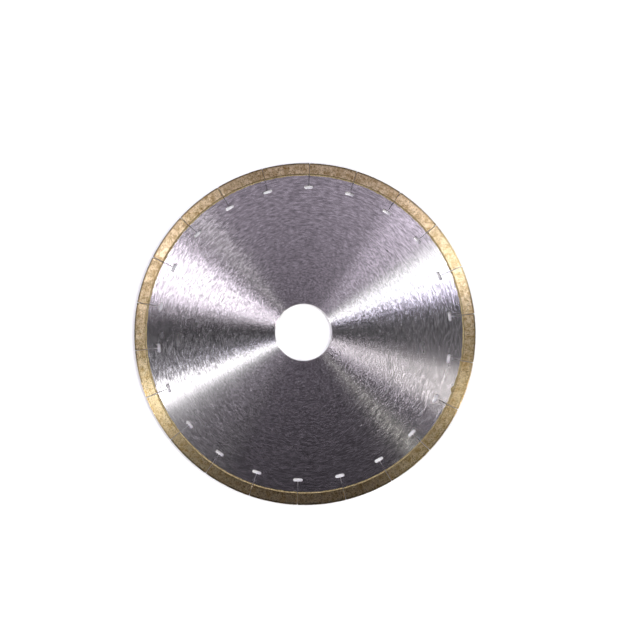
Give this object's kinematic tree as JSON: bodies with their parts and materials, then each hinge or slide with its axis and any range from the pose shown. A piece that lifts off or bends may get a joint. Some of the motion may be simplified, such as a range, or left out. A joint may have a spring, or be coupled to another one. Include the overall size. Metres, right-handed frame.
{
  "type": "diamond saw blade",
  "caption": "Round diamond saw blade for tile and stone: thin ground steel core with an arbor bore, cooling slots and a rim of brazed bronze-bond segments.",
  "frame": {"origin": "centre of the arbor bore, half way through the core's thickness", "axes": "+Z along the blade's axis; +Y runs out through the middle of a cooling slot"},
  "size_m": [0.3, 0.3, 0.0024],
  "materials": {
    "ground_steel": "circular ground",
    "sintered_bronze_diamond": "sintered, dressed",
    "silver_braze": "as flowed, satin"
  },
  "bodies": {
    "root": {"steel_core": "ground_steel", "diamond_segment_01": "sintered_bronze_diamond", "diamond_segment_02": "sintered_bronze_diamond", "diamond_segment_03": "sintered_bronze_diamond", "diamond_segment_04": "sintered_bronze_diamond", "diamond_segment_05": "sintered_bronze_diamond", "diamond_segment_06": "sintered_bronze_diamond", "diamond_segment_07": "sintered_bronze_diamond", "diamond_segment_08": "sintered_bronze_diamond", "diamond_segment_09": "sintered_bronze_diamond", "diamond_segment_10": "sintered_bronze_diamond", "diamond_segment_11": "sintered_bronze_diamond", "diamond_segment_12": "sintered_bronze_diamond", "diamond_segment_13": "sintered_bronze_diamond", "diamond_segment_14": "sintered_bronze_diamond", "diamond_segment_15": "sintered_bronze_diamond", "diamond_segment_16": "sintered_bronze_diamond", "diamond_segment_17": "sintered_bronze_diamond", "diamond_segment_18": "sintered_bronze_diamond", "diamond_segment_19": "sintered_bronze_diamond", "diamond_segment_20": "sintered_bronze_diamond", "diamond_segment_21": "sintered_bronze_diamond", "diamond_segment_22": "sintered_bronze_diamond", "braze_seam_01": "silver_braze", "braze_seam_02": "silver_braze", "braze_seam_03": "silver_braze", "braze_seam_04": "silver_braze", "braze_seam_05": "silver_braze", "braze_seam_06": "silver_braze", "braze_seam_07": "silver_braze", "braze_seam_08": "silver_braze", "braze_seam_09": "silver_braze", "braze_seam_10": "silver_braze", "braze_seam_11": "silver_braze", "braze_seam_12": "silver_braze", "braze_seam_13": "silver_braze", "braze_seam_14": "silver_braze", "braze_seam_15": "silver_braze", "braze_seam_16": "silver_braze", "braze_seam_17": "silver_braze", "braze_seam_18": "silver_braze", "braze_seam_19": "silver_braze", "braze_seam_20": "silver_braze", "braze_seam_21": "silver_braze", "braze_seam_22": "silver_braze"}
  },
  "joints": []
}
